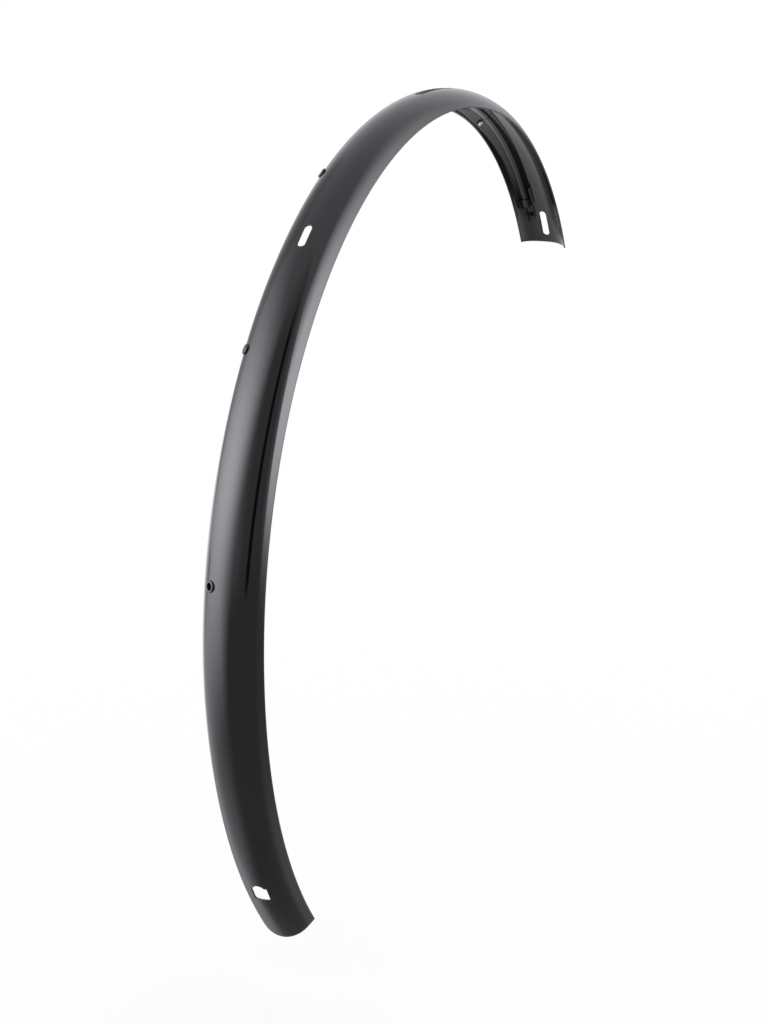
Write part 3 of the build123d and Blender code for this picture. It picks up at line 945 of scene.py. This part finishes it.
def photo_camera():
    """Camera behind, to the right of and a little above the blade, level, at the photograph's place.

    The aim has the given azimuth and dip. The eye lies a distance back from the axle along
    the aim, moved to the right and up by small shifts.
    """
    aim = np.array([
        np.cos(AIM_AZIMUTH) * np.cos(AIM_DIP),
        np.sin(AIM_AZIMUTH) * np.cos(AIM_DIP),
        -np.sin(AIM_DIP),
    ])
    right = np.cross(aim, [0, 0, 1])
    right /= np.linalg.norm(right)
    up = np.cross(right, aim)
    eye = AXLE + MAIN_RADIUS * (EYE_RIGHT * right + EYE_UP * up - EYE_DISTANCE * aim)
    lens = bpy.data.cameras.new("photo_camera")
    lens.sensor_width = FILM_SIZE
    lens.lens = FOCAL_PIXELS * FILM_SIZE / PICTURE_HEIGHT
    lens.clip_end = VIEW_REACH
    camera = bpy.data.objects.new("photo_camera", lens)
    bpy.context.scene.collection.objects.link(camera)
    place = np.eye(4)
    place[:3, :] = np.column_stack([right, up, -aim, eye])
    camera.matrix_world = Matrix(place.tolist())
    bpy.context.scene.camera = camera


def studio_walls(sums, azimuth, elevation):
    """Level of the walls and the ground, which blend at the horizon.

    The walls are white, with a dark side and a panel of shade on the far left. The ground is
    grey, with a glow on the left and one on the right.
    """
    dark = sums.product(sums.rise(azimuth, DARK_SIDE_LEFT), sums.fall(azimuth, DARK_SIDE_RIGHT))
    dark = sums.product(dark, sums.fall(elevation, DARK_SIDE_TOP))
    panel = sums.product(sums.rise(azimuth, PANEL_LEFT), sums.fall(azimuth, PANEL_RIGHT))
    panel = sums.product(panel, sums.ramp(elevation, PANEL_TOP, PANEL_SHADE, 0))
    above = sums.calc("MULTIPLY_ADD", dark, -DARK_SIDE_SHADE, WALL_LEVEL)
    above = sums.calc("SUBTRACT", above, panel)
    left_start = sums.ramp(azimuth, LEFT_GLOW_START, 0, LEFT_GLOW_START_LEVEL)
    left_end = sums.ramp(azimuth, LEFT_GLOW_END, LEFT_GLOW_END_LEVEL, 0)
    left = sums.product(sums.calc("MINIMUM", left_start, left_end), sums.rise(elevation, LEFT_GLOW_FOOT))
    right = sums.ramp(azimuth, RIGHT_GLOW_START, 0, RIGHT_GLOW_LEVEL)
    right = sums.product(right, sums.fall(azimuth, RIGHT_GLOW_END), sums.rise(elevation, RIGHT_GLOW_FOOT))
    ground = sums.ramp(elevation, GROUND_RISE, *GROUND_LEVELS)
    below = sums.calc("ADD", sums.calc("ADD", left, right), ground)
    difference = sums.calc("SUBTRACT", above, below)
    return sums.calc("MULTIPLY_ADD", difference, sums.rise(elevation, HORIZON), below)


def soft_diffuser(sums, azimuth, elevation):
    """Share of a large soft light about a middle line that leans with height from a place on.

    Its right edge changes from one pair of angles to another with height.
    """
    height = sums.calc("MAXIMUM", elevation, DIFFUSER_LEAN_FROM)
    middle = sums.calc("MULTIPLY_ADD", height, DIFFUSER_LEAN, DIFFUSER_MIDDLE)
    offset = sums.calc("SUBTRACT", azimuth, middle)
    edge_ends = zip(DIFFUSER_LOW_RIGHT, DIFFUSER_HIGH_RIGHT)
    right_edge = [sums.ramp(elevation, DIFFUSER_RIGHT_CHANGE, low, high) for low, high in edge_ends]
    across = sums.calc("MINIMUM", sums.rise(offset, DIFFUSER_LEFT), sums.fall(offset, right_edge))
    return sums.product(across, sums.rise(elevation, DIFFUSER_FOOT), sums.fall(elevation, DIFFUSER_TOP))


def hard_light(sums, azimuth, elevation):
    """Share of a light with a hard left edge that dims to the right, by a power, and to its tilted top."""
    tilt = sums.ramp(azimuth, HARD_LIGHT_TILT_EDGE, HARD_LIGHT_TILT, -HARD_LIGHT_TILT)
    top = sums.fall(sums.calc("ADD", elevation, tilt), HARD_LIGHT_TOP, smooth=False)
    right = sums.calc("POWER", sums.fall(azimuth, HARD_LIGHT_RIGHT, smooth=False), HARD_LIGHT_POWER)
    return sums.product(
        sums.rise(azimuth, HARD_LIGHT_LEFT), right, top, sums.rise(elevation, HARD_LIGHT_FOOT))


def black_flag(sums, azimuth, elevation):
    """Share of a thin strip about a leaning middle line that takes all light away."""
    middle = sums.calc("MULTIPLY_ADD", elevation, FLAG_LEAN, FLAG_MIDDLE)
    away = sums.calc("ABSOLUTE", sums.calc("SUBTRACT", azimuth, middle))
    return sums.product(
        sums.fall(away, FLAG_HALF_WIDTH), sums.rise(elevation, FLAG_FOOT), sums.fall(elevation, FLAG_TOP))


def studio_world():
    """White studio, plain to the eye and to diffuse light, with its soft lights seen in gloss.

    Directions are read as an azimuth about the dark side behind the camera and an elevation,
    in degrees. A glossy ray meets the walls and the ground, a large soft diffuser on the left, a
    hard-edged light on the right and a thin black flag.
    """
    world = bpy.data.worlds.new("studio")
    bpy.context.scene.world = world
    world.use_nodes = True
    nodes, links = world.node_tree.nodes, world.node_tree.links
    sums = NodeSums(world.node_tree)
    place = nodes.new("ShaderNodeTexCoord")
    facing = nodes.new("ShaderNodeVectorRotate")
    facing.rotation_type = "Z_AXIS"
    facing.inputs["Angle"].default_value = STUDIO_TURN
    links.new(place.outputs["Generated"], facing.inputs["Vector"])
    axes = nodes.new("ShaderNodeSeparateXYZ")
    links.new(facing.outputs["Vector"], axes.inputs["Vector"])
    azimuth = sums.calc("DEGREES", sums.calc("ARCTAN2", axes.outputs["Y"], axes.outputs["X"]))
    elevation = sums.calc("DEGREES", sums.calc("ARCSINE", axes.outputs["Z"]))

    direction = (sums, azimuth, elevation)
    seen = studio_walls(*direction)
    seen = sums.calc("MULTIPLY_ADD", hard_light(*direction), HARD_LIGHT_LEVEL, seen)
    seen = sums.calc("MULTIPLY_ADD", soft_diffuser(*direction), DIFFUSER_LEVEL, seen)
    seen = sums.product(seen, sums.calc("SUBTRACT", 1.0, black_flag(*direction)))
    glossy = nodes.new("ShaderNodeLightPath").outputs["Is Glossy Ray"]
    strength = sums.calc("MULTIPLY_ADD", sums.calc("SUBTRACT", seen, 1.0), glossy, 1.0)
    white = nodes.new("ShaderNodeMix")
    white.data_type = "RGBA"
    white.inputs["A"].default_value = PLAIN_WHITE
    white.inputs["B"].default_value = COOL_WHITE
    links.new(glossy, white.inputs["Factor"])
    links.new(strength, nodes["Background"].inputs["Strength"])
    links.new(white.outputs["Result"], nodes["Background"].inputs["Color"])


unevenness = uneven_finish()
cover_black = finish_material("cover_plastic", unevenness, **COVER_PLASTIC)
make_blade(gloss_paint(unevenness))
make_covers(cover_black)
dress(cover_black, "end_clip")
make_bushes(finish_material("bush_plastic", unevenness, **BUSH_PLASTIC))
make_grommet(finish_material("grommet_rubber", unevenness, **GROMMET_RUBBER))
make_screws(finish_material("screw_steel", unevenness, **SCREW_STEEL))
pale_floor()
photo_camera()
studio_world()
bpy.context.scene.view_settings.view_transform = "Standard"
